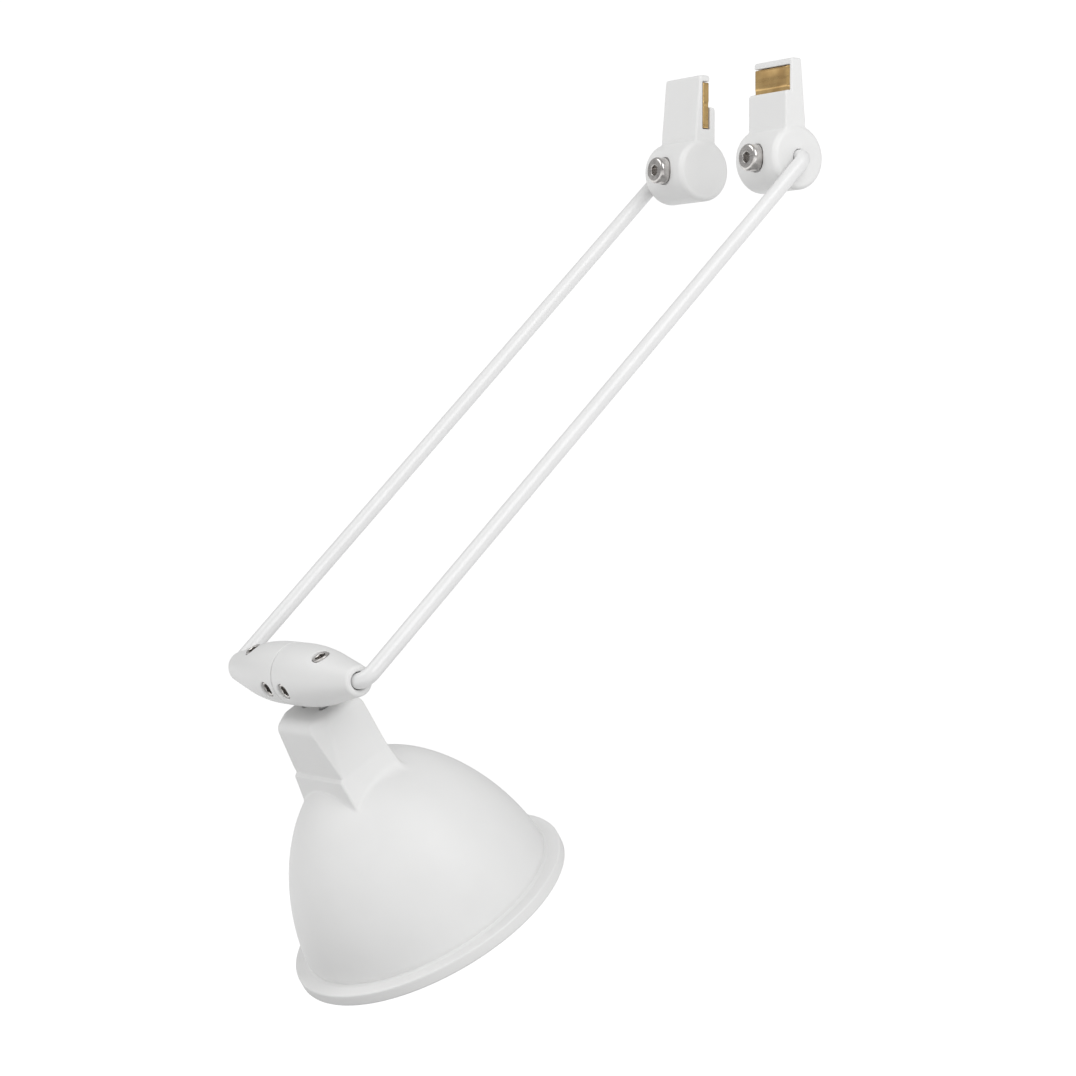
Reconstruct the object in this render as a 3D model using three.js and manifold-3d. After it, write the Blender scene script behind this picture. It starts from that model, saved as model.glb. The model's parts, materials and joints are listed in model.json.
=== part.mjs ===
// Rail-mounted swing arm spotlight. Millimetres, +Z up.
// Origin: middle of the two clips, on the plane of the clip shoulders that meet the underside of the rail.
// +X runs along both pivot axes. The arms reach down towards -Y.

import * as THREE from "three";
import { mergeVertices } from "three/addons/utils/BufferGeometryUtils.js";
import Module from "manifold-3d";

const wasm = await Module();
wasm.setup();

// ---------------------------------------------------------------- driving dimensions

const GAP = 0.3; // clearance between pieces that touch on the real lamp
const EPS = 0.5; // how far a cutter runs past the face it opens

const ROD_SPACING = 66; // between the centre lines of the two arm rods
const ROD_RADIUS = 2.1;
const ROD_BEND = 3.3; // centre line radius of the four right-angle bends
const ARM_LENGTH = 200; // clip axis to spindle axis
const ARM_DROP = THREE.MathUtils.degToRad(44.2); // below the horizontal
const HEAD_TILT = THREE.MathUtils.degToRad(32.2); // shade axis, away from straight down

const CLIP_AXIS_DROP = 18.5; // shoulder plane to clip axis
const BARREL = { radius: 9, inner: 12, outer: 30, fillet: 1.1 };
const TONGUE = { width: 16.5, top: 9.1, roof: 1.8, backTop: 1.3, backFoot: 2.9 };
const LIP = { front: -4.3, thick: 2.0 }; // the wall in front of the foot of the contact
const ROOF_FRONT = -2.3;
const CONTACT = { back: 0.4, foot: -6.2, width: 15.6, bevel: 1.3, edge: 0.4 };
const SLEEVE = { radius: 3.6, inner: 15, outer: 28, floor: 2 };
const CAP_SCREW = { head: 3.8, headHeight: 4, shank: 1.95, proud: 2.8, key: 1.7, keyDepth: 2.2 };

const SPINDLE = { half: 30.6, radius: 8.2, end: 3.9, edge: 0.6, seam: 0.15, mouth: 2.6 };
const SPINDLE_KNEE = { x: 11.5, curve: 4 };
const TERMINAL = { radius: 4.7, inner: 1.6, outer: 22, rodBore: 9.7 };
const GRUB = { radius: 2.2, key: 1.4, keyDepth: 1.7 };
const ROD_GRUB = { x: 17.2, outer: 6.4 }; // opposite the shade
const STEM = { x: 4.3, radius: 1.25, top: -3, foot: 15.7 };
const STEM_GRUB = { x: STEM.x, outer: 7.6 }; // square to the stems, on the front

// The head is measured from the spindle axis along the shade axis.
const NECK_TOP = 10;
const NECK_FOOT = 36;
const NECK_SLOPE = 0.27; // sideways run of the slanted parts
const BOWL = { top: 27.9, bottom: 72.8, radius: 35.5, power: 1.6, wall: 1.8, steps: 16 };
const RIM = { radius: 39.5, bottom: 77.4, edge: 3.5, lip: 4.7 };
const HOLDER = { top: 15, bottom: 29.5, width: 19, depth: 8.6 };
const HOLDER_CONTACT = { top: 16, bottom: 23, width: 3.6, depth: 3.6 };
const LAMP_PIN = { spacing: 5.3, radius: 0.75, top: 23.6 };
const LAMP_BASE = { top: 30, bottom: 36.6, width: 14, depth: 8.2 };
const REFLECTOR = { top: 37, face: 68.5, radius: 25.3, neck: 7.2, hole: 4.2, wall: 1.4, rim: 3, steps: 8 };
const CAPSULE = { top: 36.9, shoulder: 52, tip: 58.4, radius: 3 };
const FRONT_GLASS = { thickness: 1.5, ledge: 0.9, edge: 0.3 };

const SIDES = { left: -1, right: 1 };

// ---------------------------------------------------------------- materials

function material(color, roughness, metalness = 0, opacity = 1) {
  const transparent = opacity < 1;
  return new THREE.MeshStandardMaterial({ color, roughness, metalness, opacity, transparent });
}

const MATERIALS = {
  whitePlastic: () => material(0xf1f1f0, 0.5),
  whiteCoat: () => material(0xf3f3f2, 0.35),
  brass: () => material(0xb08a45, 0.35, 1),
  steel: () => material(0xc8c6c2, 0.25, 1),
  ceramic: () => material(0xe9e4d8, 0.7),
  mirror: () => material(0xd9dde2, 0.12, 1),
  glass: () => material(0xe8f0f2, 0.05, 0, 0.4),
};

// ---------------------------------------------------------------- solids

function toSolid(geometry) {
  const bare = geometry.index ? geometry.toNonIndexed() : geometry.clone();
  bare.deleteAttribute("normal");
  bare.deleteAttribute("uv");
  const merged = mergeVertices(bare, 1e-4);
  return new wasm.Manifold(
    new wasm.Mesh({
      numProp: 3,
      vertProperties: new Float32Array(merged.attributes.position.array),
      triVerts: new Uint32Array(merged.index.array),
    }),
  );
}

function toGeometry(solid) {
  const mesh = solid.getMesh();
  const geometry = new THREE.BufferGeometry();
  geometry.setAttribute("position", new THREE.BufferAttribute(mesh.vertProperties, 3));
  geometry.setIndex(new THREE.BufferAttribute(mesh.triVerts, 1));
  return geometry;
}

function cut(geometry, ...cutters) {
  return toGeometry(cutters.reduce((solid, cutter) => solid.subtract(toSolid(cutter)), toSolid(geometry)));
}

function join(first, ...others) {
  return toGeometry(others.reduce((solid, other) => solid.add(toSolid(other)), toSolid(first)));
}

// A cylinder from one point to another.
function rod(from, to, radius, segments = 20) {
  const axis = new THREE.Vector3().subVectors(to, from);
  const direction = axis.clone().normalize();
  const turn = new THREE.Quaternion().setFromUnitVectors(new THREE.Vector3(0, 1, 0), direction);
  const middle = new THREE.Vector3().addVectors(from, to).multiplyScalar(0.5);
  return new THREE.CylinderGeometry(radius, radius, axis.length(), segments)
    .applyQuaternion(turn)
    .translate(middle.x, middle.y, middle.z);
}

// A box between two corners.
function block(low, high) {
  const size = new THREE.Vector3().subVectors(high, low);
  return new THREE.BoxGeometry(size.x, size.y, size.z).translate(
    (low.x + high.x) / 2,
    (low.y + high.y) / 2,
    (low.z + high.z) / 2,
  );
}

// A solid of revolution about X: outline points are [x, radius], from the axis back to the axis.
function latheX(outline, segments = 32) {
  const points = outline.map(([x, radius]) => new THREE.Vector2(radius, x));
  return new THREE.LatheGeometry(points, segments).rotateZ(-Math.PI / 2);
}

// A solid of revolution about the shade axis, which points along -Z: outline points are [distance, radius].
function latheDown(outline, segments = 48) {
  const points = outline.map(([distance, radius]) => new THREE.Vector2(radius, -distance));
  return new THREE.LatheGeometry(points.reverse(), segments).rotateX(Math.PI / 2);
}

// A section in the YZ plane, extruded along X between two places.
function extrudeX(outline, fromX, toX) {
  const shape = new THREE.Shape(outline.map(([y, z]) => new THREE.Vector2(y, z)));
  const basis = new THREE.Matrix4().makeBasis(
    new THREE.Vector3(0, 1, 0),
    new THREE.Vector3(0, 0, 1),
    new THREE.Vector3(1, 0, 0),
  );
  return new THREE.ExtrudeGeometry(shape, { depth: toX - fromX, bevelEnabled: false })
    .applyMatrix4(basis)
    .translate(fromX, 0, 0);
}

// A closed skin over a row of rings that all have the same number of corners.
function skin(rings) {
  const count = rings[0].length;
  const positions = rings.flat().flatMap((corner) => [corner.x, corner.y, corner.z]);
  const index = [];
  for (let i = 0; i < rings.length - 1; i++) {
    for (let k = 0; k < count; k++) {
      const a = i * count + k;
      const b = i * count + ((k + 1) % count);
      index.push(a, a + count, b, b, a + count, b + count);
    }
  }
  const last = (rings.length - 1) * count;
  for (let k = 1; k < count - 1; k++) {
    index.push(0, k, k + 1);
    index.push(last, last + k + 1, last + k);
  }
  const geometry = new THREE.BufferGeometry();
  geometry.setAttribute("position", new THREE.Float32BufferAttribute(positions, 3));
  geometry.setIndex(index);
  return geometry;
}

// A right prism with a hexagon section: a key socket in a screw.
function hexagon(from, to, radius) {
  return rod(from, to, radius, 6);
}

function mesh(name, geometry, makeMaterial) {
  const piece = new THREE.Mesh(geometry, makeMaterial());
  piece.name = name;
  return piece;
}

const v = (x, y, z) => new THREE.Vector3(x, y, z);

// ---------------------------------------------------------------- clips

// Each clip is drawn with its contact facing -Y and its outer end towards +X, about its own pivot axis.

function clipBarrel() {
  const { radius, inner, outer, fillet } = BARREL;
  const corner = fillet * (1 - Math.SQRT1_2);
  return latheX([
    [inner, 0],
    [inner, radius - fillet],
    [inner + corner, radius - corner],
    [inner + fillet, radius],
    [outer - fillet, radius],
    [outer - corner, radius - corner],
    [outer, radius - fillet],
    [outer, 0],
  ]);
}

const CLIP_MIDDLE = (BARREL.inner + BARREL.outer) / 2;
const TONGUE_TOP = TONGUE.top + CLIP_AXIS_DROP;

function clipTongue() {
  const outline = [
    [LIP.front, 0],
    [TONGUE.backFoot, 0],
    [TONGUE.backFoot, BARREL.radius + 1],
    [TONGUE.backTop, TONGUE_TOP - 0.6],
    [TONGUE.backTop - 0.6, TONGUE_TOP],
    [ROOF_FRONT, TONGUE_TOP],
    [ROOF_FRONT, CLIP_AXIS_DROP],
    [LIP.front, CLIP_AXIS_DROP],
  ];
  return extrudeX(outline, CLIP_MIDDLE - TONGUE.width / 2, CLIP_MIDDLE + TONGUE.width / 2);
}

// The pocket for the contact: a window above the shoulder and a slot behind the lip, open at one side.
function contactPocket(openSide) {
  const closed = CLIP_MIDDLE - openSide * (TONGUE.width / 2 - (TONGUE.width - CONTACT.width));
  const open = CLIP_MIDDLE + openSide * (TONGUE.width / 2 + EPS);
  const slotFront = LIP.front + LIP.thick;
  const outline = [
    [CONTACT.back, CLIP_AXIS_DROP + CONTACT.foot - GAP],
    [CONTACT.back, TONGUE_TOP - TONGUE.roof],
    [ROOF_FRONT - EPS, TONGUE_TOP - TONGUE.roof],
    [ROOF_FRONT - EPS, CLIP_AXIS_DROP],
    [slotFront, CLIP_AXIS_DROP],
    [slotFront, CLIP_AXIS_DROP + CONTACT.foot - GAP],
  ];
  return extrudeX(outline.reverse(), Math.min(open, closed), Math.max(open, closed));
}

function clipBody(openSide, screwSide) {
  const sleevePocket = rod(v(SLEEVE.inner - GAP, 0, 0), v(SLEEVE.outer + GAP, 0, 0), SLEEVE.radius + GAP);
  const rodHole = rod(v(SLEEVE.outer, 0, 0), v(BARREL.outer + EPS, 0, 0), ROD_RADIUS + GAP);
  const screwMouth = v(CLIP_MIDDLE, screwSide * (BARREL.radius + EPS), 0);
  const screwHole = rod(v(CLIP_MIDDLE, 0, 0), screwMouth, CAP_SCREW.head + GAP, 24);
  return cut(join(clipBarrel(), clipTongue()), contactPocket(openSide), sleevePocket, rodHole, screwHole);
}

// A brass pad in the window, with sloped edges, on a strip that goes down behind the lip.
function clipContact(openSide) {
  const back = CONTACT.back - GAP;
  const front = ROOF_FRONT + GAP / 2;
  const stripFront = LIP.front + LIP.thick + GAP;
  const top = TONGUE_TOP - TONGUE.roof - GAP;
  const bottom = CLIP_AXIS_DROP + GAP;
  const closed = CLIP_MIDDLE - openSide * (TONGUE.width / 2 - (TONGUE.width - CONTACT.width) - GAP);
  const open = CLIP_MIDDLE + openSide * (TONGUE.width / 2 - GAP);
  const low = Math.min(open, closed);
  const high = Math.max(open, closed);
  const pad = extrudeX(
    [
      [back, bottom],
      [back, top],
      [front + CONTACT.edge, top],
      [front, top - CONTACT.edge],
      [front, bottom + CONTACT.bevel],
      [front + CONTACT.bevel / 2, bottom],
    ].reverse(),
    low,
    high,
  );
  const strip = block(v(low, stripFront, CLIP_AXIS_DROP + CONTACT.foot), v(high, back, bottom + 1));
  return join(pad, strip);
}

function clipSleeve(screwSide) {
  const shape = rod(v(SLEEVE.inner, 0, 0), v(SLEEVE.outer, 0, 0), SLEEVE.radius);
  const bore = rod(v(SLEEVE.inner + SLEEVE.floor, 0, 0), v(SLEEVE.outer + EPS, 0, 0), ROD_RADIUS + GAP);
  const threadMouth = v(CLIP_MIDDLE, screwSide * (SLEEVE.radius + EPS), 0);
  const thread = rod(v(CLIP_MIDDLE, 0, 0), threadMouth, CAP_SCREW.shank + GAP);
  return cut(shape, bore, thread);
}

function clipScrew(screwSide) {
  const face = screwSide * (BARREL.radius + CAP_SCREW.proud);
  const seat = face - screwSide * CAP_SCREW.headHeight;
  const tip = screwSide * (ROD_RADIUS + GAP);
  const head = rod(v(CLIP_MIDDLE, seat, 0), v(CLIP_MIDDLE, face, 0), CAP_SCREW.head, 24);
  const shank = rod(v(CLIP_MIDDLE, tip, 0), v(CLIP_MIDDLE, seat + screwSide * EPS, 0), CAP_SCREW.shank, 16);
  const socket = hexagon(
    v(CLIP_MIDDLE, face - screwSide * CAP_SCREW.keyDepth, 0),
    v(CLIP_MIDDLE, face + screwSide * EPS, 0),
    CAP_SCREW.key,
  );
  return cut(join(head, shank), socket);
}

// The left clip is the right one turned half a turn about Z, but both clamp screws are on the front.
function clip(sideName) {
  const isLeft = sideName === "left";
  const screwSide = isLeft ? 1 : -1;
  const openSide = -1; // towards the other clip
  const group = new THREE.Group();
  group.add(
    mesh(`clip_body_${sideName}`, clipBody(openSide, screwSide), MATERIALS.whitePlastic),
    mesh(`clip_contact_${sideName}`, clipContact(openSide), MATERIALS.brass),
    mesh(`clip_sleeve_${sideName}`, clipSleeve(screwSide), MATERIALS.brass),
    mesh(`clip_screw_${sideName}`, clipScrew(screwSide), MATERIALS.steel),
  );
  group.position.z = -CLIP_AXIS_DROP;
  if (isLeft) group.rotation.z = Math.PI;
  return group;
}

// ---------------------------------------------------------------- arm rods

const ARM_DIRECTION = v(0, -Math.cos(ARM_DROP), -Math.sin(ARM_DROP));
const CLIP_AXIS = v(0, 0, -CLIP_AXIS_DROP);
const SPINDLE_AXIS = CLIP_AXIS.clone().addScaledVector(ARM_DIRECTION, ARM_LENGTH);

// The centre line: out of the clip, down the arm and back into the spindle.
function rodCentreLine(side, steps = 5) {
  const plane = (ROD_SPACING / 2) * side;
  const bendStart = plane - side * ROD_BEND;
  const along = (x, distance) => v(x, 0, 0).add(CLIP_AXIS).addScaledVector(ARM_DIRECTION, distance);
  const points = [along(side * (SLEEVE.inner + SLEEVE.floor + GAP), 0)];
  for (let i = 0; i <= steps; i++) {
    const a = ((Math.PI / 2) * i) / steps;
    points.push(along(bendStart + side * ROD_BEND * Math.sin(a), ROD_BEND * (1 - Math.cos(a))));
  }
  for (let i = 0; i <= steps; i++) {
    const a = ((Math.PI / 2) * i) / steps;
    points.push(along(bendStart + side * ROD_BEND * Math.cos(a), ARM_LENGTH - ROD_BEND * (1 - Math.sin(a))));
  }
  points.push(along(side * (TERMINAL.rodBore + GAP), ARM_LENGTH));
  return points;
}

// A round bar along a flat path: one ring of corners at each point, square to the path.
function bentBar(points, radius, planeNormal, sides = 16) {
  const rings = points.map((point, i) => {
    const before = points[Math.max(i - 1, 0)];
    const after = points[Math.min(i + 1, points.length - 1)];
    const tangent = new THREE.Vector3().subVectors(after, before).normalize();
    const across = new THREE.Vector3().crossVectors(planeNormal, tangent);
    return Array.from({ length: sides }, (_, k) => {
      const a = (2 * Math.PI * k) / sides;
      return point
        .clone()
        .addScaledVector(planeNormal, radius * Math.cos(a))
        .addScaledVector(across, radius * Math.sin(a));
    });
  });
  return skin(rings);
}

function armRod(sideName) {
  const side = SIDES[sideName];
  const planeNormal = new THREE.Vector3().crossVectors(v(1, 0, 0), ARM_DIRECTION).normalize();
  const bar = bentBar(rodCentreLine(side), ROD_RADIUS, planeNormal);
  return mesh(`arm_rod_${sideName}`, bar, MATERIALS.whiteCoat);
}

// ---------------------------------------------------------------- spindle

// The head group has its origin on the spindle axis and the shade axis along -Z; it is tilted as a whole.

// A level middle, a knee that is curved over a short way on both sides, and a straight cone to the end.
function spindleProfile() {
  const { half, radius, end, edge, seam } = SPINDLE;
  const { x: knee, curve } = SPINDLE_KNEE;
  const slope = (radius - end) / (half - knee);
  const points = [
    [seam, 0],
    [seam, radius],
  ];
  for (const t of [0, 0.25, 0.5, 0.75, 1]) {
    const x = knee + curve * (2 * t - 1);
    points.push([x, radius - slope * curve * t * t]);
  }
  points.push([half - edge, end + slope * edge], [half, end - edge / 2], [half, 0]);
  return points;
}

function spindleHalf(side) {
  const profile = spindleProfile();
  const onAxis = (x) => v(side * x, 0, 0);
  const body = latheX(side > 0 ? profile : profile.map(([x, radius]) => [-x, radius]).reverse(), 40);
  const pocket = rod(onAxis(-EPS), onAxis(TERMINAL.outer + GAP), TERMINAL.radius + GAP, 24);
  const bore = rod(onAxis(TERMINAL.outer), onAxis(SPINDLE.half + EPS), SPINDLE.mouth);
  const stemMouth = v(side * STEM.x, 0, -SPINDLE.radius - EPS);
  const stemHole = rod(onAxis(STEM.x), stemMouth, STEM.radius + GAP, 16);
  return cut(body, pocket, bore, stemHole, ...grubHoles(side));
}

const ROD_GRUB_DIRECTION = v(0, 0, 1);
const STEM_GRUB_DIRECTION = v(0, -1, 0);

// Two points on a line square to the spindle axis, at distances from it.
function grubLine(side, x, direction, from, to) {
  const foot = v(side * x, 0, 0);
  return [foot.clone().addScaledVector(direction, from), foot.clone().addScaledVector(direction, to)];
}

function grubHoles(side) {
  const out = SPINDLE.radius + EPS;
  return [
    rod(...grubLine(side, ROD_GRUB.x, ROD_GRUB_DIRECTION, 0, out), GRUB.radius + GAP),
    rod(...grubLine(side, STEM_GRUB.x, STEM_GRUB_DIRECTION, 0, out), GRUB.radius + GAP),
  ];
}

function terminal(side) {
  const onAxis = (x) => v(side * x, 0, 0);
  const bar = rod(onAxis(TERMINAL.inner), onAxis(TERMINAL.outer), TERMINAL.radius, 24);
  const rodBore = rod(onAxis(TERMINAL.rodBore), onAxis(TERMINAL.outer + EPS), ROD_RADIUS + GAP);
  const stemTop = v(side * STEM.x, 0, -STEM.top + GAP);
  const stemMouth = v(side * STEM.x, 0, -TERMINAL.radius - EPS);
  const stemBore = rod(stemTop, stemMouth, STEM.radius + GAP, 16);
  return cut(bar, rodBore, stemBore, ...grubHoles(side));
}

function grub(side, x, direction, from, to) {
  const [start, end] = grubLine(side, x, direction, from, to);
  const [keyStart, keyEnd] = grubLine(side, x, direction, to - GRUB.keyDepth, to + EPS);
  return cut(rod(start, end, GRUB.radius, 18), hexagon(keyStart, keyEnd, GRUB.key));
}

function stemPin(side) {
  return rod(v(side * STEM.x, 0, -STEM.top), v(side * STEM.x, 0, -STEM.foot), STEM.radius, 14);
}

function insulator() {
  const edge = TERMINAL.inner - GAP;
  return rod(v(-edge, 0, 0), v(edge, 0, 0), TERMINAL.radius, 24);
}

// ---------------------------------------------------------------- shade

function bowlRadius(distance) {
  const share = (distance - BOWL.top) / (BOWL.bottom - BOWL.top);
  return BOWL.radius * Math.sqrt(1 - (1 - share) ** BOWL.power);
}

// Outlines of the bowl as [distance from the spindle axis, radius], with closer steps near the top.
const BOWL_OUTER = Array.from({ length: BOWL.steps }, (_, i) => {
  const distance = BOWL.top + (BOWL.bottom - BOWL.top) * ((i + 1) / BOWL.steps) ** 2;
  return [distance, bowlRadius(distance)];
});
const BOWL_INNER = BOWL_OUTER.filter(([, radius]) => radius > 4 * BOWL.wall).map(([distance, radius]) => [
  distance + 0.7 * BOWL.wall,
  radius - BOWL.wall,
]);

function shadeBowl() {
  const flange = RIM.bottom - RIM.edge;
  const edge = 0.6;
  const mouth = RIM.radius - RIM.lip;
  const outline = [
    [BOWL.top, 0],
    ...BOWL_OUTER,
    [flange, BOWL.radius + edge],
    [flange, RIM.radius - edge],
    [flange + edge, RIM.radius],
    [RIM.bottom - edge, RIM.radius],
    [RIM.bottom, RIM.radius - edge],
    [RIM.bottom, mouth],
    ...BOWL_INNER.toReversed(),
    [BOWL.top + BOWL.wall, 0],
  ];
  return latheDown(outline);
}

// One level of the neck: its distance from the spindle axis, half width along X, reach to the front (-Y)
// and to the back (+Y), and the length of the slanted part of each side.
function neckSection({ distance, halfWidth, front, back, slant }) {
  const inset = NECK_SLOPE * slant;
  return [
    v(-halfWidth, -front + slant, -distance),
    v(-halfWidth + inset, -front, -distance),
    v(halfWidth - inset, -front, -distance),
    v(halfWidth, -front + slant, -distance),
    v(halfWidth, back, -distance),
    v(-halfWidth, back, -distance),
  ];
}

// A rounded top, and a small ledge across the front.
const NECK_LEVELS = [
  { distance: NECK_TOP, halfWidth: 11.2, front: 8.1, back: 6.4, slant: 6 },
  { distance: 11.6, halfWidth: 11.9, front: 9.2, back: 7.1, slant: 6.4 },
  { distance: 26, halfWidth: 11.8, front: 9.2, back: 7.1, slant: 0.8 },
  { distance: 26.8, halfWidth: 11.9, front: 10.1, back: 7.1, slant: 0.8 },
  { distance: NECK_FOOT, halfWidth: 13.1, front: 10.4, back: 7.4, slant: 0.8 },
];

function shadeNeck() {
  return skin(NECK_LEVELS.map(neckSection));
}

function shade() {
  const pocketTop = HOLDER.top - GAP;
  const pocket = block(
    v(-HOLDER.width / 2 - GAP, -HOLDER.depth / 2 - GAP, -NECK_FOOT),
    v(HOLDER.width / 2 + GAP, HOLDER.depth / 2 + GAP, -pocketTop),
  );
  const stemHoles = Object.values(SIDES).map((side) => {
    const top = v(side * STEM.x, 0, -NECK_TOP + EPS);
    const bottom = v(side * STEM.x, 0, -pocketTop - EPS);
    return rod(top, bottom, STEM.radius + GAP, 16);
  });
  const bowlHollow = latheDown([
    [BOWL.top + BOWL.wall, 0],
    ...BOWL_INNER,
    [RIM.bottom + EPS, BOWL.radius - BOWL.wall],
    [RIM.bottom + EPS, 0],
  ]);
  return cut(join(shadeBowl(), shadeNeck()), bowlHollow, pocket, ...stemHoles);
}

// ---------------------------------------------------------------- lampholder and lamp

// The body is open at the top for the two contacts and has two holes in its foot for the lamp pins.
function lampholder() {
  const { width, depth, top, bottom } = HOLDER;
  const body = block(v(-width / 2, -depth / 2, -bottom), v(width / 2, depth / 2, -top));
  const cutters = Object.values(SIDES).flatMap((side) => {
    const halfWidth = HOLDER_CONTACT.width / 2 + GAP;
    const halfDepth = HOLDER_CONTACT.depth / 2 + GAP;
    const pinX = (side * LAMP_PIN.spacing) / 2;
    const pinHoleTop = v(pinX, 0, -HOLDER_CONTACT.bottom - GAP / 2);
    return [
      block(
        v(side * STEM.x - halfWidth, -halfDepth, -HOLDER_CONTACT.bottom - GAP),
        v(side * STEM.x + halfWidth, halfDepth, -top + EPS),
      ),
      rod(v(pinX, 0, -bottom - EPS), pinHoleTop, LAMP_PIN.radius + GAP, 12),
    ];
  });
  return cut(body, ...cutters);
}

function holderContact(side) {
  const { width, depth, top, bottom } = HOLDER_CONTACT;
  return block(
    v(side * STEM.x - width / 2, -depth / 2, -bottom),
    v(side * STEM.x + width / 2, depth / 2, -top),
  );
}

// The reflector is a paraboloid of even wall thickness with a straight rim that holds the front glass.
function reflectorRadius(distance) {
  const { top, face, rim, radius, neck } = REFLECTOR;
  const share = Math.max(distance - top, 0) / (face - rim - top);
  return neck + (radius - neck) * Math.sqrt(share);
}

function lampReflector() {
  const { top, face, rim, radius, hole, wall, steps } = REFLECTOR;
  const shares = Array.from({ length: steps }, (_, i) => (i / (steps - 1)) ** 2);
  const distances = shares.map((share) => top + (face - rim - top) * share);
  const floor = top + wall;
  const inner = distances
    .filter((distance) => reflectorRadius(distance) > hole + wall + 2)
    .map((distance) => [Math.max(distance + wall / 2, floor), reflectorRadius(distance) - wall]);
  const seat = radius - FRONT_GLASS.ledge;
  const outline = [
    ...distances.map((distance) => [distance, reflectorRadius(distance)]),
    [face, radius],
    [face, seat],
    [face - FRONT_GLASS.thickness - GAP, seat],
    ...inner.slice(1).reverse(),
    [floor, hole],
    [top, hole],
  ];
  outline.push(outline[0]);
  return latheDown(outline, 36);
}

function lampBase() {
  const { top, bottom, width, depth } = LAMP_BASE;
  return block(v(-width / 2, -depth / 2, -bottom), v(width / 2, depth / 2, -top));
}

function lampPin(side) {
  const x = (side * LAMP_PIN.spacing) / 2;
  return rod(v(x, 0, -LAMP_PIN.top), v(x, 0, -LAMP_BASE.top + GAP), LAMP_PIN.radius, 12);
}

// A straight tube with half an ellipse at the end.
function lampCapsule() {
  const { top, shoulder, tip, radius } = CAPSULE;
  const outline = [
    [top, 0],
    [top, radius],
  ];
  for (const t of [0, 0.25, 0.5, 0.75, 1]) {
    const angle = (Math.PI / 2) * t;
    outline.push([shoulder + (tip - shoulder) * Math.sin(angle), radius * Math.cos(angle)]);
  }
  outline.at(-1)[1] = 0;
  return latheDown(outline, 20);
}

function lampGlass() {
  const { thickness, ledge, edge } = FRONT_GLASS;
  const { face, radius } = REFLECTOR;
  const glassRadius = radius - ledge - GAP;
  const outline = [
    [face - thickness, 0],
    [face - thickness, glassRadius],
    [face - edge, glassRadius],
    [face, glassRadius - edge],
    [face, 0],
  ];
  return latheDown(outline, 36);
}

// ---------------------------------------------------------------- assembly

function head() {
  const group = new THREE.Group();
  for (const [sideName, side] of Object.entries(SIDES)) {
    const rodGrub = grub(side, ROD_GRUB.x, ROD_GRUB_DIRECTION, ROD_RADIUS + GAP, ROD_GRUB.outer);
    const stemGrub = grub(side, STEM_GRUB.x, STEM_GRUB_DIRECTION, STEM.radius + GAP, STEM_GRUB.outer);
    group.add(
      mesh(`spindle_half_${sideName}`, spindleHalf(side), MATERIALS.whitePlastic),
      mesh(`spindle_terminal_${sideName}`, terminal(side), MATERIALS.brass),
      mesh(`rod_set_screw_${sideName}`, rodGrub, MATERIALS.steel),
      mesh(`stem_set_screw_${sideName}`, stemGrub, MATERIALS.steel),
      mesh(`stem_pin_${sideName}`, stemPin(side), MATERIALS.steel),
      mesh(`holder_contact_${sideName}`, holderContact(side), MATERIALS.brass),
      mesh(`lamp_pin_${sideName}`, lampPin(side), MATERIALS.steel),
    );
  }
  group.add(
    mesh("spindle_insulator", insulator(), MATERIALS.whitePlastic),
    mesh("shade", shade(), MATERIALS.whitePlastic),
    mesh("lampholder", lampholder(), MATERIALS.ceramic),
    mesh("lamp_base", lampBase(), MATERIALS.ceramic),
    mesh("lamp_reflector", lampReflector(), MATERIALS.mirror),
    mesh("lamp_capsule", lampCapsule(), MATERIALS.glass),
    mesh("lamp_glass", lampGlass(), MATERIALS.glass),
  );
  group.position.copy(SPINDLE_AXIS);
  group.rotation.x = HEAD_TILT;
  return group;
}

const lamp = new THREE.Group();
lamp.add(clip("left"), clip("right"), armRod("left"), armRod("right"), head());

export default lamp;
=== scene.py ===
"""The looks of a rail-mounted swing arm spotlight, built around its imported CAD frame.

Shapes are written in millimetres in the local frame of a clip or of the head, and placed in the
part's frame in metres. Most pieces are implicit solids: a function gives the distance to the
surface, and a surface net turns it into a mesh.
"""

import json
import math

import bpy
import numpy as np
from mathutils import Matrix, Vector


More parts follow.
